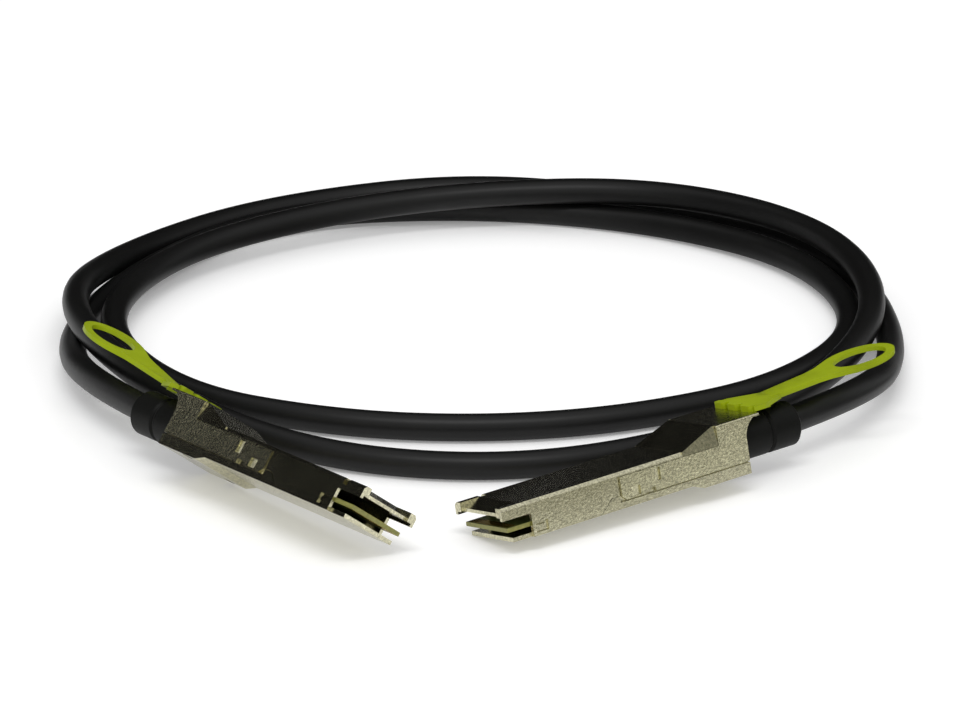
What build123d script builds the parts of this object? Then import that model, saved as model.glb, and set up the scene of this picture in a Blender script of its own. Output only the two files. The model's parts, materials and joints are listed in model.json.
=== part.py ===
from build123d import *
import os
from math import cos, radians, sin, tan

# Plug body, measured from the nose tip backwards and from the nose floor upwards
plug_width = 18.35
plug_length = 70.8
nose_height = 8.5
open_length = 8.0
rail_height = 2.9
rail_width = 2.2
edge_chamfer = 0.7
overcut = 1.0
half_width = plug_width / 2
rail_bottom = nose_height - rail_height

# Sloped plate between the nose rails and the notch in one rail
plate_front = 0.8
plate_edge_top = 7.1
plate_bevel_end = 5.5
mouth_top = 6.3
notch_front = 5.9
notch_length = 1.4
notch_depth = 1.6

# Ramp and raised rear
ramp_length = 9.8
ramp_to_rear = 9.0
rear_top = 12.2
side_lean = 0.9
ramp_end = plug_length - ramp_to_rear
ramp_start = ramp_end - ramp_length

# Bracket-shaped dimple on each side of the nose
dimple_front = 8.9
dimple_length = 3.4
dimple_bottom = 0.8
dimple_height = 2.4
dimple_depth = 0.5
dimple_rim = 0.7

# Lower shell, with a horn on each side in front of the slider's arm
tongue_front = 2.8
floor_thickness = 1.0
full_width_start = 32.9
split_height = 1.5
pad_depth = 1.2
pad_run = 14.0
pad_bevel = 3.3
shell_fit = 0.05
horn_toe = 5.8
horn_flat = 2.2
horn_height = 3.0
horn_seam = 0.12
pad_bevel_end = plug_length - pad_run
pad_bevel_start = pad_bevel_end - pad_bevel

# Cavity behind the card
cavity_lead = 0.7
cavity_half = 6.4
cavity_top = 7.3
hump_cavity_run = 13.2
hump_cavity_top = 9.6
rear_wall = 4.8
cavity_step = full_width_start - cavity_lead
hump_cavity_front = plug_length - hump_cavity_run
rear_wall_front = plug_length - rear_wall

# Paddle card and what is mounted on it
card_width = 16.4
card_thickness = 1.0
card_bottom = 2.5
card_front = 1.6
card_end_gap = 1.2
card_side_gap = 0.1
post_width = 1.1
post_length = 2.0
front_post = 12.0
rear_post_inset = 3.5
finger_count = 19
finger_pitch = 0.8
finger_width = 0.54
finger_length = 2.6
finger_setback = 0.4
finger_thickness = 0.06
chip_size = (3.2, 3.0, 0.9)
chip_inset = 9.5
capacitor_size = (1.0, 0.5, 0.5)
capacitor_centre = 11.5
capacitor_count = 8
capacitor_pitch = 1.6
card_rear = cavity_step - card_end_gap
card_top = card_bottom + card_thickness
card_slot_half = card_width / 2 + card_side_gap
floor_half = card_slot_half - shell_fit

# Latch slider and its travel
sheet = 0.6
slide_gap = 0.1
slide_travel = 2.5
arm_gap = 0.7
arm_top = 7.4
arm_lift = 0.3
saddle_lead = 8.2
saddle_overhang = 4.5
saddle_bend = 0.5
ear_start = 7.0
ear_bulge = (1.0, 10.1)
arm_notch_inset = 6.8
arm_notch_length = 2.8
arm_notch_height = 1.0
arm_nose_chamfer = 1.1
lance_depth = 0.4
rear_lance = (9.8, 11.5, 4.0, 7.0)
front_lance = (3.0, 5.4, 2.1, 4.3)
tongue_half = 4.5
tongue_reach = 5.5
arm_front = full_width_start + arm_gap
arm_bottom = split_height + arm_lift
saddle_front = plug_length - saddle_lead
saddle_rear = plug_length + saddle_overhang
tongue_end = saddle_rear + tongue_reach
slider_inner = half_width - sheet
recess_half = slider_inner - slide_gap
seat_front = saddle_front - slide_gap
seat_height = rear_top - sheet - slide_gap

# Return springs in pockets behind the arms
pocket_to_rear = 12.6
spring_room = 8.3
pocket_depth = 2.175
pocket_bottom = 3.9
pocket_top = 6.1
spring_gap = 0.2
spring_strip = 0.25
spring_legs = 8
pocket_inner = half_width - pocket_depth
pocket_rear = plug_length - pocket_to_rear
pocket_front = pocket_rear - spring_room - slide_travel
catch_front = pocket_front + 2 * spring_gap
catch_rear = catch_front + sheet

# Cable, ferrule and strain relief
cable_diameter = 6.7
cable_axis = 5.3
jacket_inset = 9.3
ferrule_inset = 11.0
ferrule_radius = 4.1
flange_inset = 6.4
flange_radius = 5.9
neck_radius = 5.4
boot_neck_length = 10.2
crease_length = 1.4
crease_radius = 4.9
collar_length = 8.1
collar_radius = 5.4
collar_chamfer = 0.9
boot_fit = 0.05
lead_radius = 0.6
lead_sides = 8
lead_rows = ((-5.4, -1.95), (-1.8, -0.65), (1.8, 0.65), (5.4, 1.95))
lead_overlap = 4.5
lead_straight = 1.6
lead_bundle_rise = 0.65
lead_bundle_length = 1.2
cable_radius = cable_diameter / 2
jacket_start = plug_length - jacket_inset
ferrule_front = plug_length - ferrule_inset
flange_front = plug_length - flange_inset
neck_end = plug_length + boot_neck_length
crease_middle = neck_end + crease_length / 2
collar_start = neck_end + crease_length
boot_end = collar_start + collar_length
lead_front = card_rear - lead_overlap
lead_bend = card_rear + lead_straight

# Pull tab: head behind the saddle, lumps on it, lug round the tongue
head_gap = 0.2
head_half = 7.4
head_thickness = 1.1
head_flare = 3.5
head_length = 11.5
lump_rows = (-5.0, 0.0, 5.0)
lump_width = 3.8
lump_length = 2.2
lump_height = 1.4
lump_round = 0.8
lug_half = 5.1
lug_length = 6.5
head_front = saddle_rear + head_gap
head_end = head_front + head_length

# Strap and finger loop of the tab, with the set they have taken
strap_inset = 5.0
strap_thickness = 1.1
strap_sink = 0.1
strap_half = 2.9
strap_length = 17.0
strap_steps = 6
neck_length = 3.5
neck_half = 3.5
neck_touch = 122.0
loop_length = 21.0
loop_width = 12.6
loop_end = 41.5
loop_rim = 2.2
hole_length = 15.0
hole_width = 8.6
left_set = {"rise": 9.8, "twist": -20.0, "sway": 1.5}
right_set = {"rise": 4.2, "twist": 7.0, "sway": 0.0}
strap_start = head_end - strap_inset
strap_middle = rear_top - strap_sink + strap_thickness / 2
loop_middle = loop_end - loop_length / 2
hole_middle = loop_end - loop_rim - hole_length / 2

# Screws that join the shells
screw_inset = 9.6
screw_side_inset = 1.725
screw_radius = 0.8
screw_length = 6.0
screw_head_radius = 1.25
screw_head_height = 0.9
screw_head_gap = 0.1
screw_floor = 1.6
screw_slot = (1.8, 0.4, 0.4)
screw_place = (plug_length - screw_inset, half_width - screw_side_inset)
screw_seat = split_height - screw_floor

# Where the nose of each plug lies on the floor, and its heading, pitch and roll
left_nose = (-25.15, -50.0, 7.87)
left_turn = (129.4, 1.1, 37.3)
right_nose = (-0.74, -38.69, 1.62)
right_turn = (36.3, -2.2, -12.1)

# Route of the cable: stations round the coil as angle, distance from the centre and height
coil_centre = (-1.45, 98.46)
straight_run = 43.7
cable_reach = plug_length + straight_run
floor_lie = cable_radius
arc_share = 0.45
stations = [
    (182, 103.3, floor_lie), (152, 98.7, floor_lie), (122, 103.0, 4.3), (92, 98.4, floor_lie),
    (62, 97.5, floor_lie), (32, 99.3, 4.3), (2, 96.5, floor_lie), (332, 84.8, 3.6),
    (302, 72.8, 3.5), (272, 69.5, floor_lie), (242, 74.5, 3.5), (212, 87.0, 3.5),
    (182, 95.2, 6.3), (152, 92.9, 7.35), (122, 88.6, 8.0), (92, 90.6, 9.4),
    (62, 101.1, 10.9), (32, 104.4, 11.8), (2, 101.4, 10.55), (332, 95.3, 6.0),
    (302, 93.0, floor_lie), (272, 97.5, floor_lie), (242, 95.5, floor_lie), (212, 97.5, 9.2),
    (182, 104.5, 12.8), (151, 105.6, 5.9), (120, 112.3, floor_lie), (88, 113.3, 5.1),
    (56, 109.2, floor_lie), (24, 106.3, 3.6), (352.5, 104.3, 3.6),
]


def block(x0, x1, y0, y1, z0, z1):
    return Pos((x0 + x1) / 2, (y0 + y1) / 2, (z0 + z1) / 2) * Box(x1 - x0, y1 - y0, z1 - z0)


def side_prism(points, y0, y1):
    face = make_face(Polyline([(x, y0, z) for x, z in points], close=True))
    return extrude(face, amount=y1 - y0, dir=(0, 1, 0))


def cross_prism(points, x0, x1):
    face = make_face(Polyline([(x0, y, z) for y, z in points], close=True))
    return extrude(face, amount=x1 - x0, dir=(1, 0, 0))


def rod(radius, x0, x1):
    base = (Align.CENTER, Align.CENTER, Align.MIN)
    return Pos(x0, 0, cable_axis) * Rot(0, 90, 0) * Cylinder(radius, x1 - x0, align=base)


def post(radius, place, z0, z1):
    base = (Align.CENTER, Align.CENTER, Align.MIN)
    return Pos(place[0], place[1], z0) * Cylinder(radius, z1 - z0, align=base)


def both_sides(shape):
    return Part() + [shape, mirror(shape, about=Plane.XZ)]


# Side profile of the lower shell's horn, grown by the seam for the opening it fills
def horn_profile(seam):
    front = full_width_start - seam
    top = horn_height + seam
    return [(front - horn_toe, 0), (front - horn_flat, top), (full_width_start, top), (full_width_start, 0)]


# Upper shell: nose section, ramp and raised rear, hollowed from below
def make_upper_shell():
    lip = half_width - edge_chamfer
    shoulder = nose_height - edge_chamfer
    outline = [(-half_width, 0), (-half_width, shoulder), (-lip, nose_height)]
    outline += [(lip, nose_height), (half_width, shoulder), (half_width, 0)]
    shell = cross_prism(outline, 0, ramp_start)
    shell -= block(full_width_start, ramp_start, -half_width, half_width, 0, split_height)
    shell += side_prism(
        [
            (ramp_start, split_height), (ramp_start, nose_height), (ramp_end, rear_top),
            (seat_front, rear_top), (seat_front, seat_height), (plug_length, seat_height),
            (plug_length, split_height),
        ],
        -half_width, half_width,
    )
    lean_top = rear_top + overcut
    lean = [(half_width, arm_top), (half_width - side_lean, lean_top), (half_width, lean_top)]
    shell -= both_sides(cross_prism(lean, ramp_start, seat_front))

    # Open sides of the nose, the sloped plate and the notch
    shell -= block(0, open_length, -half_width, half_width, 0, rail_bottom)
    rail_inner = half_width - rail_width
    plate_clear = nose_height + overcut
    shell -= side_prism(
        [
            (0, mouth_top), (plate_front, mouth_top), (plate_front, plate_edge_top),
            (plate_bevel_end, nose_height), (plate_bevel_end, plate_clear), (0, plate_clear),
        ],
        -rail_inner, rail_inner,
    )
    notch_floor = nose_height - notch_depth
    shell -= block(notch_front, notch_front + notch_length, rail_inner, half_width, notch_floor, nose_height)

    # Cavity for the card, the wires, the ferrule and the strain relief
    shell -= block(0, cavity_step, -card_slot_half, card_slot_half, 0, mouth_top)
    shell -= block(cavity_step, full_width_start, -card_slot_half, card_slot_half, 0, floor_thickness)
    shell -= block(cavity_step, rear_wall_front, -cavity_half, cavity_half, 0, cavity_top)
    shell -= block(hump_cavity_front, rear_wall_front, -cavity_half, cavity_half, 0, hump_cavity_top)
    shell -= rod(flange_radius + boot_fit, flange_front - slide_gap, rear_wall_front)
    shell -= rod(neck_radius + boot_fit, rear_wall_front, plug_length)

    # Recesses for the slider, openings for the horns, pockets for the springs, screw holes
    recess_top = arm_top + slide_gap
    recess = block(full_width_start, plug_length, recess_half, half_width, split_height, recess_top)
    recess += block(seat_front, plug_length, recess_half, half_width, split_height, rear_top)
    opening = side_prism(horn_profile(horn_seam), floor_half - shell_fit, half_width)
    pocket = block(pocket_front, pocket_rear, pocket_inner, half_width, pocket_bottom, pocket_top)
    hole = post(screw_radius, screw_place, split_height, screw_seat + screw_length)
    for cut in (recess, opening, pocket, hole):
        shell -= both_sides(cut)

    # Bracket-shaped dimple
    dimple_inner = half_width - dimple_depth
    dimple_top = dimple_bottom + dimple_height
    dimple_rear = dimple_front + dimple_length
    dimple = block(dimple_front, dimple_rear, dimple_inner, half_width, dimple_bottom, dimple_top)
    rim_end = dimple_rear - dimple_rim
    dimple -= block(
        dimple_front, rim_end, dimple_inner, half_width, dimple_bottom + dimple_rim, dimple_top - dimple_rim
    )
    return shell - both_sides(dimple)


# Lower shell: nose tongue, floor, horns, tray and bevelled rear pad
def make_lower_shell():
    shell = block(tongue_front, full_width_start, -floor_half, floor_half, 0, floor_thickness)
    shell += both_sides(side_prism(horn_profile(0), floor_half, half_width))
    shell += side_prism(
        [
            (full_width_start, 0), (pad_bevel_start, 0), (pad_bevel_end, -pad_depth),
            (plug_length, -pad_depth), (plug_length, split_height), (full_width_start, split_height),
        ],
        -half_width, half_width,
    )
    tray = block(full_width_start, rear_wall_front, -cavity_half, cavity_half, floor_thickness, split_height)
    shell -= tray
    shell -= rod(flange_radius + boot_fit, flange_front - slide_gap, rear_wall_front)
    shell -= rod(neck_radius + boot_fit, rear_wall_front, plug_length)
    for front in (front_post, card_rear - rear_post_inset):
        outer = card_width / 2
        rest = block(front, front + post_length, outer - post_width, outer, floor_thickness, card_bottom)
        shell += both_sides(rest)
    head_hole = post(screw_head_radius + screw_head_gap, screw_place, -pad_depth, screw_seat)
    shank_hole = post(screw_radius + screw_head_gap, screw_place, screw_seat, split_height)
    return shell - both_sides(head_hole) - both_sides(shank_hole)


def make_paddle_card():
    return block(card_front, card_rear, -card_width / 2, card_width / 2, card_bottom, card_top)


# Gold fingers on both faces of the card
def make_contact_pads():
    finger = Box(finger_length, finger_width, finger_thickness)
    middle = card_front + finger_setback + finger_length / 2
    fingers = []
    for index in range(finger_count):
        y = (index - (finger_count - 1) / 2) * finger_pitch
        fingers.append(Pos(middle, y, card_top + finger_thickness / 2) * finger)
        fingers.append(Pos(middle, y, card_bottom - finger_thickness / 2) * finger)
    return Part() + fingers


def make_card_chip():
    return Pos(card_rear - chip_inset, 0, card_top + chip_size[2] / 2) * Box(*chip_size)


def make_card_capacitors():
    rows = [(index - (capacitor_count - 1) / 2) * capacitor_pitch for index in range(capacitor_count)]
    height = card_top + capacitor_size[2] / 2
    return Part() + [Pos(capacitor_centre, y, height) * Box(*capacitor_size) for y in rows]


# Shielded pairs from both faces of the card into the cable
def make_twinax_leads():
    flat = lead_radius * cos(radians(180 / lead_sides))
    outline = Rot(0, 0, 180 / lead_sides) * RegularPolygon(lead_radius, lead_sides)
    leads = []
    for card_y, bundle_y in lead_rows:
        for card_z, side in ((card_top + flat, 1), (card_bottom - flat, -1)):
            bundle_z = cable_axis + side * lead_bundle_rise
            path = Polyline(
                (lead_front, card_y, card_z), (lead_bend, card_y, card_z),
                (jacket_start - lead_bundle_length, bundle_y, bundle_z), (jacket_start, bundle_y, bundle_z),
            )
            section = Plane((lead_front, card_y, card_z), x_dir=(0, 1, 0), z_dir=(1, 0, 0)) * outline
            leads.append(sweep(section, path=path, transition=Transition.RIGHT))
    return Part() + leads


def make_crimp_ferrule():
    return rod(ferrule_radius, ferrule_front, flange_front) - rod(cable_radius, ferrule_front, flange_front)


# Strain relief: flange held by the shells, neck, crease and collar
def make_strain_relief():
    profile = [
        (flange_front, cable_radius), (flange_front, flange_radius), (rear_wall_front, flange_radius),
        (rear_wall_front, neck_radius), (neck_end, neck_radius), (crease_middle, crease_radius),
        (collar_start, collar_radius), (boot_end - collar_chamfer, collar_radius),
        (boot_end, collar_radius - collar_chamfer), (boot_end, cable_radius),
    ]
    face = make_face(Polyline([(x, 0, cable_axis + r) for x, r in profile], close=True))
    return revolve(face, axis=Axis((0, 0, cable_axis), (1, 0, 0)))


# Tongue of the slider, which the pull tab's lug is moulded round
def make_tongue():
    return block(saddle_rear, tongue_end, -tongue_half, tongue_half, rear_top - sheet, rear_top)


# Latch slider: saddle over the raised rear with two side arms
def make_latch_slider():
    corner = (plug_length, ear_start)
    ear_middle = (plug_length + ear_bulge[0], ear_bulge[1])
    rear_corner = (saddle_rear, rear_top)
    notch_top = arm_bottom + arm_notch_height
    arm_notch = arm_front + arm_notch_inset
    arm_notch_end = arm_notch + arm_notch_length
    lower_edge = [
        rear_corner, (saddle_front, rear_top), (saddle_front, arm_top), (arm_front, arm_top),
        (arm_front, arm_bottom + arm_nose_chamfer), (arm_front + arm_nose_chamfer, arm_bottom),
        (arm_notch, arm_bottom), (arm_notch, notch_top), (arm_notch_end, notch_top),
        (arm_notch_end, arm_bottom), (plug_length, arm_bottom), corner,
    ]
    edge = Polyline([(x, slider_inner, z) for x, z in lower_edge])
    ear = ThreePointArc(*[(x, slider_inner, z) for x, z in (corner, ear_middle, rear_corner)])
    arm = extrude(make_face([*edge.edges(), *ear.edges()]), amount=sheet, dir=(0, 1, 0))
    for front, rear, bottom, top in (rear_lance, front_lance):
        wedge = [(front, half_width), (rear, half_width), (rear, half_width - lance_depth)]
        face = make_face(Polyline([(arm_front + x, y, bottom) for x, y in wedge], close=True))
        arm -= extrude(face, amount=top - bottom, dir=(0, 0, 1))
    catch_bottom = pocket_bottom + spring_gap
    catch_top = pocket_top - spring_gap
    arm += block(catch_front, catch_rear, pocket_inner + spring_gap, slider_inner, catch_bottom, catch_top)
    slider = both_sides(arm)
    slider += block(saddle_front, saddle_rear, -half_width, half_width, rear_top - sheet, rear_top)
    bends = slider.edges().filter_by(Axis.X).group_by(Axis.Z)[-1]
    slider = fillet([e for e in bends if abs(e.center().Y) > half_width - saddle_bend], saddle_bend)
    return slider + make_tongue()


# Folded strip springs, one behind each arm, with their end legs on the catch and the pocket's rear wall
def make_latch_springs():
    inner = pocket_inner + spring_gap
    outer = slider_inner - spring_gap
    bottom = pocket_bottom + spring_gap
    top = pocket_top - spring_gap
    step = (pocket_rear - catch_rear - spring_strip) / (spring_legs - 1)
    strip = Part()
    for index in range(spring_legs):
        front = catch_rear + step * index
        strip += block(front, front + spring_strip, inner, outer, bottom, top)
        if index + 1 < spring_legs:
            fold = outer - spring_strip if index % 2 else inner
            strip += block(front, front + step + spring_strip, fold, fold + spring_strip, bottom, top)
    return both_sides(strip)


# Pull tab: lumped head moulded round the slider's tongue, twisted strap and finger loop
def make_pull_tab(rise, twist, sway):
    flare = head_front + head_flare
    plan = [
        (head_front, -head_half), (flare, -head_half), (head_end, -strap_half),
        (head_end, strap_half), (flare, head_half), (head_front, head_half),
    ]
    head = Pos(0, 0, rear_top) * extrude(make_face(Polyline(plan, close=True)), head_thickness)
    lump = block(0, lump_length, -lump_width / 2, lump_width / 2, rear_top, rear_top + lump_height)
    lump = fillet(lump.edges().filter_by(Axis.Z), lump_round)
    head += [Pos(head_front - lump_length / 2, y, 0) * lump for y in lump_rows]
    head += block(head_front, head_front + lug_length, -lug_half, lug_half, rear_top - sheet, rear_top)
    head -= make_tongue()

    # The strap turns step by step from the head's plane into the loop's
    root = Pos(strap_start, 0, strap_middle) * Rot(0, 0, sway) * Rot(0, -rise, 0)
    section = Plane.YZ * Rectangle(2 * strap_half, strap_thickness)
    sections = []
    for step in range(strap_steps + 1):
        share = step / strap_steps
        sections.append(root * Pos(share * strap_length, 0, 0) * Rot(share * twist, 0, 0) * section)
    strap = loft(sections, ruled=True)
    touch = loop_middle + loop_length / 2 * cos(radians(neck_touch))
    touch_half = loop_width / 2 * sin(radians(neck_touch))
    neck = [(strap_length, strap_half), (strap_length + neck_length, neck_half), (touch, touch_half)]
    neck += [(x, -y) for x, y in reversed(neck)]
    flat = make_face(Polyline(neck, close=True))
    flat += Pos(loop_middle, 0) * Ellipse(loop_length / 2, loop_width / 2)
    flat -= Pos(hole_middle, 0) * Ellipse(hole_length / 2, hole_width / 2)
    loop = root * Rot(twist, 0, 0) * Pos(0, 0, -strap_thickness / 2) * extrude(flat, strap_thickness)
    return head + strap + loop


def make_shell_screws():
    bottom = screw_seat - screw_head_height
    screw = post(screw_head_radius, screw_place, bottom, screw_seat)
    screw += post(screw_radius, screw_place, screw_seat, screw_seat + screw_length)
    slot = Pos(screw_place[0], screw_place[1], bottom) * Box(*screw_slot)
    return both_sides(screw - slot)


# Cable: one tube along straight runs joined by tangent arcs
def make_cable_jacket(left_place, right_place):
    start = Pos(jacket_start, 0, cable_axis)
    reach = Pos(cable_reach, 0, cable_axis)
    points = [(left_place * start).position, (left_place * reach).position]
    for angle, distance, height in stations:
        x = coil_centre[0] + distance * cos(radians(angle))
        y = coil_centre[1] + distance * sin(radians(angle))
        points.append(Vector(x, y, height))
    points += [(right_place * reach).position, (right_place * start).position]
    radii = []
    for before, here, after in zip(points, points[1:], points[2:]):
        turn = (here - before).get_angle(after - here)
        shorter = min((here - before).length, (after - here).length)
        radii.append(arc_share * shorter / tan(radians(turn / 2)))
    path = FilletPolyline(*points, radius=radii)
    section = Plane(path @ 0, z_dir=path % 0) * Circle(cable_radius)
    print("cable arc radii, mm:", [round(radius, 1) for radius in radii])
    print("cable length, mm:", round(path.length, 1))
    return sweep(section, path=path)


def plug_place(nose, turn):
    heading, pitch, roll = turn
    return Pos(*nose) * Rot(0, 0, heading) * Rot(0, pitch, 0) * Rot(roll, 0, 0)


os.makedirs("parts", exist_ok=True)
places = {"left": plug_place(left_nose, left_turn), "right": plug_place(right_nose, right_turn)}
for side, tab_set in (("left", left_set), ("right", right_set)):
    pieces = {
        "upper_shell": make_upper_shell(),
        "lower_shell": make_lower_shell(),
        "paddle_card": make_paddle_card(),
        "contact_pads": make_contact_pads(),
        "card_chip": make_card_chip(),
        "card_capacitors": make_card_capacitors(),
        "twinax_leads": make_twinax_leads(),
        "crimp_ferrule": make_crimp_ferrule(),
        "strain_relief": make_strain_relief(),
        "latch_slider": make_latch_slider(),
        "latch_springs": make_latch_springs(),
        "pull_tab": make_pull_tab(**tab_set),
        "shell_screws": make_shell_screws(),
    }
    for name, piece in pieces.items():
        export_step(places[side] * piece, f"parts/{side}_{name}.step")
export_step(make_cable_jacket(places["left"], places["right"]), "parts/cable_jacket.step")
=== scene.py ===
import json
import math

import bpy
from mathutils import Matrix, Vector


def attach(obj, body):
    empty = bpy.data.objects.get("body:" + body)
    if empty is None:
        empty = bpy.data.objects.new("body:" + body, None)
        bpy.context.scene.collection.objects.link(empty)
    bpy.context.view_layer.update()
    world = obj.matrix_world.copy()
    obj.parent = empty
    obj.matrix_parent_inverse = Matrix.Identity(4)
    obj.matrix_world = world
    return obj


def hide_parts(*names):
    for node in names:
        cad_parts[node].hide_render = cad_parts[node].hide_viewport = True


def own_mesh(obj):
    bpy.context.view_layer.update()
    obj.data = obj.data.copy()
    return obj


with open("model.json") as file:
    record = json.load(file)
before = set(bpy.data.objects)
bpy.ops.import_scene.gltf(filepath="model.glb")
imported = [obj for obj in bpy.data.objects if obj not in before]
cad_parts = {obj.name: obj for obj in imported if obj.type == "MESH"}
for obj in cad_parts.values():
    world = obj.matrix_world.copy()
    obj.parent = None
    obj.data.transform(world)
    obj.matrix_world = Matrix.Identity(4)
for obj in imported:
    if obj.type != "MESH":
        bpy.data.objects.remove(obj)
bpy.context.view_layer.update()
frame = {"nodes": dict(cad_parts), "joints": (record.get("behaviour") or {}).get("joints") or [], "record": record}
nodes = frame["nodes"]
root_body = "cable_assembly"

# Camera, from the photograph's viewing angle
view_elevation = math.radians(20)
view_distance = 1.45
view_target = Vector((-0.00145, 0.08646, 0.0))
lens_mm = 220.1
sensor_mm = 36.0
near_clip = 0.05

# Cable route: plug ends, then stations round the coil as angle, distance and height
cable_radius = 0.00335
cable_steps = 16
cable_rings = 8
coil_centre = (-0.00145, 0.09846)
floor_lie = cable_radius
left_start = (-0.06175, -0.00038, 0.01090)
left_reach = (-0.09538, 0.04056, 0.00989)
right_reach = (0.09065, 0.02982, 0.01119)
right_start = (0.04797, -0.00153, 0.00916)
stations = (
    (182, 0.1033, floor_lie), (152, 0.0987, floor_lie), (122, 0.1030, 0.0043), (92, 0.0984, floor_lie),
    (62, 0.0975, floor_lie), (32, 0.0993, 0.0043), (2, 0.0965, floor_lie), (332, 0.0848, 0.0036),
    (302, 0.0728, 0.0035), (272, 0.0695, floor_lie), (242, 0.0745, 0.0035), (212, 0.0870, 0.0035),
    (182, 0.0952, 0.0063), (152, 0.0929, 0.00735), (122, 0.0886, 0.0080), (92, 0.0906, 0.0094),
    (62, 0.1011, 0.0109), (32, 0.1044, 0.0118), (2, 0.1014, 0.01055), (332, 0.0953, 0.0060),
    (302, 0.0930, floor_lie), (272, 0.0975, floor_lie), (242, 0.0955, floor_lie), (212, 0.0975, 0.0092),
    (182, 0.1045, 0.0128), (151, 0.1056, 0.0059), (120, 0.1123, floor_lie), (88, 0.1133, 0.0051),
    (56, 0.1092, floor_lie), (24, 0.1063, 0.0036), (352.5, 0.1043, 0.0036),
)

# Upward direction of each paddle card
card_up = {"left": (0.459, 0.396, 0.795), "right": (-0.154, 0.147, 0.977)}

# Grain and clouds in the materials, as sizes in metres and strengths of the relief
metal_cloud = 0.006
metal_relief = 0.6
moulded_cloud = 0.012
moulded_relief = 0.35
laminate_grain = 0.0008

# Rounded edges of the moulded pull tabs
tab_rounding = 0.0003
tab_segments = 2
sharp_edge = math.radians(35)
weld_gap = 0.000001

# Floor, and what it adds to its own light where it is seen
floor_size = (12, 12)
floor_white = 0.9
floor_lift = 0.2

# Cards that only reflections see, as name, colour, size, place and turn
upright = math.radians(90)
flat = (0, 0, 0)
across = (upright, 0, 0)
sideways = (upright, 0, upright)
black = (0.01, 0.01, 0.01)
dark_grey = (0.05, 0.05, 0.04)
mid_grey = (0.26, 0.26, 0.22)
warm_grey = (0.38, 0.37, 0.29)
cards = (
    ("card_behind", black, (0.92, 0.6), (0.04, 0.45, 0.3), across),
    ("card_left", black, (0.55, 0.7), (-0.5, -0.04, 0.4), sideways),
    ("card_left_high", black, (0.25, 0.5), (-0.5, 0.36, 0.5), sideways),
    ("card_right", mid_grey, (0.55, 0.5), (0.9, -0.425, 0.25), sideways),
    ("card_right_far", dark_grey, (0.32, 0.5), (0.9, 0.19, 0.25), sideways),
    ("sheet_right", warm_grey, (0.8, 0.445), (0.52, -0.2775, 0.0004), flat),
    ("sheet_right_far", dark_grey, (0.8, 0.15), (0.52, 0.075, 0.0004), flat),
)
soft_cards = (
    ("sheet_inside_left", black, (0.09, 0.16), (-0.038, 0.115, 0.0004), flat),
    ("sheet_inside_right", black, (0.10, 0.16), (0.040, 0.115, 0.0006), flat),
)

# Soft box above the front, and the white sky
box_power = 3.4
box_size = (0.7, 0.19)
box_place = Vector((0.0, -0.42, 1.0))
box_aim = Vector((0.0, 0.05, 0.0))
sky_strength = 0.8


def add_camera():
    camera = bpy.data.objects.new("camera", bpy.data.cameras.new("camera"))
    back = Vector((0, -math.cos(view_elevation), math.sin(view_elevation)))
    camera.location = view_target + view_distance * back
    camera.rotation_euler = (-back).to_track_quat("-Z", "Y").to_euler()
    camera.data.lens = lens_mm
    camera.data.sensor_width = sensor_mm
    camera.data.clip_start = near_clip
    bpy.context.collection.objects.link(camera)
    bpy.context.scene.camera = camera


def new_material(name):
    material = bpy.data.materials.new(name)
    material.use_nodes = True
    tree = material.node_tree
    shader = tree.nodes["Principled BSDF"]
    return material, tree, shader


def add_node(tree, kind, **sockets):
    node = tree.nodes.new(kind)
    for name, value in sockets.items():
        node.inputs[name.replace("_", " ")].default_value = value
    return node


# Grain in object space, as a noise of the given size in metres
def grain(tree, size, detail=3.0, roughness=0.55):
    place = tree.nodes.new("ShaderNodeTexCoord")
    noise = add_node(tree, "ShaderNodeTexNoise", Scale=1.0 / size, Detail=detail, Roughness=roughness)
    tree.links.new(place.outputs["Object"], noise.inputs["Vector"])
    return noise.outputs["Fac"]


def ramp(tree, value, stops):
    node = tree.nodes.new("ShaderNodeValToRGB")
    tree.links.new(value, node.inputs["Fac"])
    elements = node.color_ramp.elements
    while len(elements) < len(stops):
        elements.new(0.5)
    for element, (position, colour) in zip(elements, stops):
        element.position = position
        element.color = (*colour, 1.0)
    return node.outputs["Color"]


def spread(tree, value, low, high):
    node = add_node(tree, "ShaderNodeMapRange", To_Min=low, To_Max=high)
    tree.links.new(value, node.inputs["Value"])
    return node.outputs["Result"]


def bump(tree, shader, height, strength, depth):
    node = add_node(tree, "ShaderNodeBump", Strength=strength, Distance=depth)
    tree.links.new(height, node.inputs["Height"])
    tree.links.new(node.outputs["Normal"], shader.inputs["Normal"])


def shade(colour, factor):
    return tuple(channel * factor for channel in colour)


# Plated metal: grain in the colour and the surface, cloudy gloss
def metal(name, colour, rough, grain_size, grain_depth, contrast=0.25):
    material, tree, shader = new_material(name)
    shader.inputs["Metallic"].default_value = 1.0
    fine = grain(tree, grain_size, detail=4.0, roughness=0.7)
    cloud = grain(tree, metal_cloud)
    stops = ((0.3, shade(colour, 1 - contrast)), (0.55, colour), (0.75, shade(colour, 1 + contrast)))
    tree.links.new(ramp(tree, fine, stops), shader.inputs["Base Color"])
    tree.links.new(spread(tree, cloud, *rough), shader.inputs["Roughness"])
    bump(tree, shader, fine, metal_relief, grain_depth)
    return material


# Moulded plastic or rubber: cloudy colour, fine surface grain
def moulded(name, colour, rough, specular, grain_size=0.0005, grain_depth=0.00003, contrast=0.15):
    material, tree, shader = new_material(name)
    shader.inputs["Specular IOR Level"].default_value = specular
    fine = grain(tree, grain_size, roughness=0.6)
    cloud = grain(tree, moulded_cloud)
    stops = ((0.3, shade(colour, 1 - contrast)), (0.7, shade(colour, 1 + contrast)))
    tree.links.new(ramp(tree, cloud, stops), shader.inputs["Base Color"])
    tree.links.new(spread(tree, fine, *rough), shader.inputs["Roughness"])
    bump(tree, shader, fine, moulded_relief, grain_depth)
    return material


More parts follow.
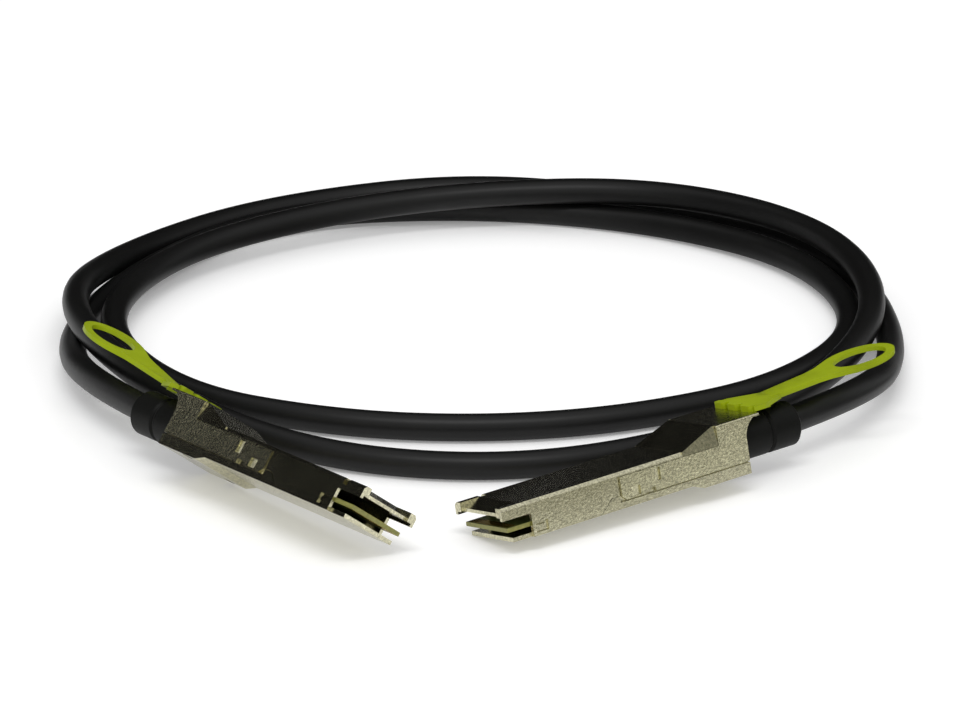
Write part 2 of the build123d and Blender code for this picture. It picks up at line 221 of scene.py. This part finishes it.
# Circuit board: dark mask on its faces, bare laminate on its edges
def board(name, up):
    material = moulded(name, (0.055, 0.075, 0.022), (0.3, 0.45), 0.4)
    tree = material.node_tree
    shader = tree.nodes["Principled BSDF"]
    mask = shader.inputs["Base Color"].links[0].from_socket
    place = tree.nodes.new("ShaderNodeTexCoord")
    facing = tree.nodes.new("ShaderNodeVectorMath")
    facing.operation = "DOT_PRODUCT"
    facing.inputs[1].default_value = up
    tree.links.new(place.outputs["Normal"], facing.inputs[0])
    size = tree.nodes.new("ShaderNodeMath")
    size.operation = "ABSOLUTE"
    tree.links.new(facing.outputs["Value"], size.inputs[0])
    stops = ((0.3, (0.17, 0.17, 0.04)), (0.7, (0.27, 0.26, 0.07)))
    laminate = ramp(tree, grain(tree, laminate_grain), stops)
    mix = tree.nodes.new("ShaderNodeMix")
    mix.data_type = "RGBA"
    tree.links.new(size.outputs[0], mix.inputs["Factor"])
    tree.links.new(laminate, mix.inputs[6])
    tree.links.new(mask, mix.inputs[7])
    tree.links.new(mix.outputs[2], shader.inputs["Base Color"])
    return material


finishes = {
    "cable_rubber": moulded("jacket", (0.0045, 0.0045, 0.0043), (0.38, 0.48), 0.26, 0.0006),
    "boot_rubber": moulded("boot", (0.0050, 0.0052, 0.0045), (0.42, 0.55), 0.10),
    "plated_shell": metal("plated_casting", (0.60, 0.575, 0.41), (0.15, 0.22), 0.0006, 0.00006, 0.45),
    "slider_steel": metal("plated_sheet", (0.60, 0.575, 0.39), (0.18, 0.26), 0.0006, 0.00012, 0.55),
    "tab_plastic": moulded("tab", (0.27, 0.345, 0.003), (0.36, 0.48), 0.14, 0.0004),
    "gold": metal("gold_plating", (0.62, 0.44, 0.13), (0.2, 0.3), 0.0003, 0.00001),
    "chip_body": moulded("chip", (0.018, 0.018, 0.018), (0.5, 0.65), 0.4, 0.0002, 0.00001),
    "capacitor_body": moulded("ceramic", (0.33, 0.25, 0.16), (0.4, 0.5), 0.4, 0.0002, 0.00001),
    "wire_foil": metal("foil", (0.62, 0.62, 0.63), (0.25, 0.4), 0.0006, 0.00003),
    "ferrule_brass": metal("ferrule", (0.56, 0.47, 0.29), (0.3, 0.4), 0.0005, 0.00002),
    "spring_steel": metal("spring", (0.5, 0.5, 0.51), (0.25, 0.35), 0.0004, 0.00001),
    "screw_steel": metal("screw", (0.47, 0.47, 0.47), (0.3, 0.4), 0.0004, 0.00001),
}
boards = {f"{side}_paddle_card": board(f"{side}_board", up) for side, up in card_up.items()}


# The vertices are joined first, since the bevel needs edges shared by two faces
def soften(solid):
    joined = solid.modifiers.new("joined", "WELD")
    joined.merge_threshold = weld_gap
    edge = solid.modifiers.new("soft_edges", "BEVEL")
    edge.width = tab_rounding
    edge.segments = tab_segments
    edge.limit_method = "ANGLE"
    edge.angle_limit = sharp_edge
    edge.harden_normals = True


def dress_solids():
    for part in frame["record"]["subparts"]:
        solid = nodes[part["node"]]
        slot = part["material_slot"]
        solid.data.materials.clear()
        solid.data.materials.append(boards.get(part["node"]) or finishes[slot])
        if slot == "tab_plastic":
            soften(solid)


# Return springs, which shorten towards the rear of their pockets as the latch is pulled: each is copied to an own
# object on the cable assembly and its CAD node hidden; the copy is not shortened here
def add_springs():
    for joint in frame["joints"]:
        node = joint["deforming_nodes"][0]["node"]
        mesh = nodes[node].data.copy()
        springs = bpy.data.objects.new(f"{node}_soft", mesh)
        bpy.context.collection.objects.link(springs)
        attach(springs, root_body)
        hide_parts(node)
        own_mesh(springs)


def route_points():
    points = [left_start, left_reach]
    for angle, distance, height in stations:
        turn = math.radians(angle)
        x = coil_centre[0] + distance * math.cos(turn)
        y = coil_centre[1] + distance * math.sin(turn)
        points.append((x, y, height))
    return points + [right_reach, right_start]


def add_cable():
    curve = bpy.data.curves.new("cable", "CURVE")
    curve.dimensions = "3D"
    points = route_points()
    spline = curve.splines.new("NURBS")
    spline.points.add(len(points) - 1)
    for point, place in zip(spline.points, points):
        point.co = (*place, 1.0)
    spline.order_u = 3
    spline.use_endpoint_u = True
    spline.resolution_u = cable_steps
    curve.bevel_depth = cable_radius
    curve.bevel_resolution = cable_rings
    curve.use_fill_caps = True
    curve.materials.append(finishes["cable_rubber"])
    cable = bpy.data.objects.new("cable", curve)
    bpy.context.collection.objects.link(cable)
    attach(cable, root_body)
    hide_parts("cable_jacket")


def plane(name, size, place, turn, material):
    half_x, half_y = size[0] / 2, size[1] / 2
    mesh = bpy.data.meshes.new(name)
    corners = [(-half_x, -half_y, 0), (half_x, -half_y, 0), (half_x, half_y, 0), (-half_x, half_y, 0)]
    mesh.from_pydata(corners, [], [(0, 1, 2, 3)])
    mesh.materials.append(material)
    sheet = bpy.data.objects.new(name, mesh)
    sheet.location = place
    sheet.rotation_euler = turn
    bpy.context.collection.objects.link(sheet)
    return sheet


# White floor that keeps the shadow: seen directly or in a reflection it is lifted to white
def add_floor():
    white, tree, shader = new_material("white_floor")
    shader.inputs["Base Color"].default_value = (floor_white, floor_white, floor_white, 1)
    shader.inputs["Roughness"].default_value = 0.9
    shader.inputs["Specular IOR Level"].default_value = 0.1
    shader.inputs["Emission Color"].default_value = (1, 1, 1, 1)
    path = tree.nodes.new("ShaderNodeLightPath")
    seen = path.outputs["Is Camera Ray"]
    for other in ("Is Glossy Ray", "Is Transmission Ray"):
        either = tree.nodes.new("ShaderNodeMath")
        either.operation = "MAXIMUM"
        tree.links.new(seen, either.inputs[0])
        tree.links.new(path.outputs[other], either.inputs[1])
        seen = either.outputs[0]
    tree.links.new(spread(tree, seen, 0.0, floor_lift), shader.inputs["Emission Strength"])
    plane("floor", floor_size, (0, 0, 0), flat, white)


# Lets a card fade to nothing at its edges, from full halfway out
def fade(tree, shader, size):
    place = tree.nodes.new("ShaderNodeTexCoord")
    scaled = tree.nodes.new("ShaderNodeVectorMath")
    scaled.operation = "MULTIPLY"
    scaled.inputs[1].default_value = (2 / size[0], 2 / size[1], 0)
    ball = tree.nodes.new("ShaderNodeTexGradient")
    ball.gradient_type = "SPHERICAL"
    tree.links.new(place.outputs["Object"], scaled.inputs[0])
    tree.links.new(scaled.outputs["Vector"], ball.inputs["Vector"])
    tree.links.new(spread(tree, ball.outputs["Fac"], 0.0, 2.0), shader.inputs["Alpha"])


def add_cards():
    for card_values in cards + soft_cards:
        name, colour, size, place, turn = card_values
        paper, tree, shader = new_material(name)
        shader.inputs["Base Color"].default_value = (*colour, 1)
        shader.inputs["Roughness"].default_value = 1.0
        shader.inputs["Specular IOR Level"].default_value = 0.0
        if card_values in soft_cards:
            fade(tree, shader, size)
        card = plane(name, size, place, turn, paper)
        card.visible_camera = False
        card.visible_diffuse = False
        card.visible_shadow = False


def add_soft_box():
    lamp = bpy.data.lights.new("top_box", "AREA")
    lamp.shape = "RECTANGLE"
    lamp.energy = box_power
    lamp.size, lamp.size_y = box_size
    holder = bpy.data.objects.new("top_box", lamp)
    holder.location = box_place
    holder.rotation_euler = (box_aim - box_place).to_track_quat("-Z", "Y").to_euler()
    bpy.context.collection.objects.link(holder)


def add_sky():
    world = bpy.data.worlds.new("studio")
    world.use_nodes = True
    sky = world.node_tree.nodes["Background"]
    sky.inputs["Color"].default_value = (1, 1, 1, 1)
    sky.inputs["Strength"].default_value = sky_strength
    bpy.context.scene.world = world
    bpy.context.scene.view_settings.view_transform = "Standard"


add_camera()
add_cable()
dress_solids()
add_springs()
add_floor()
add_cards()
add_soft_box()
add_sky()
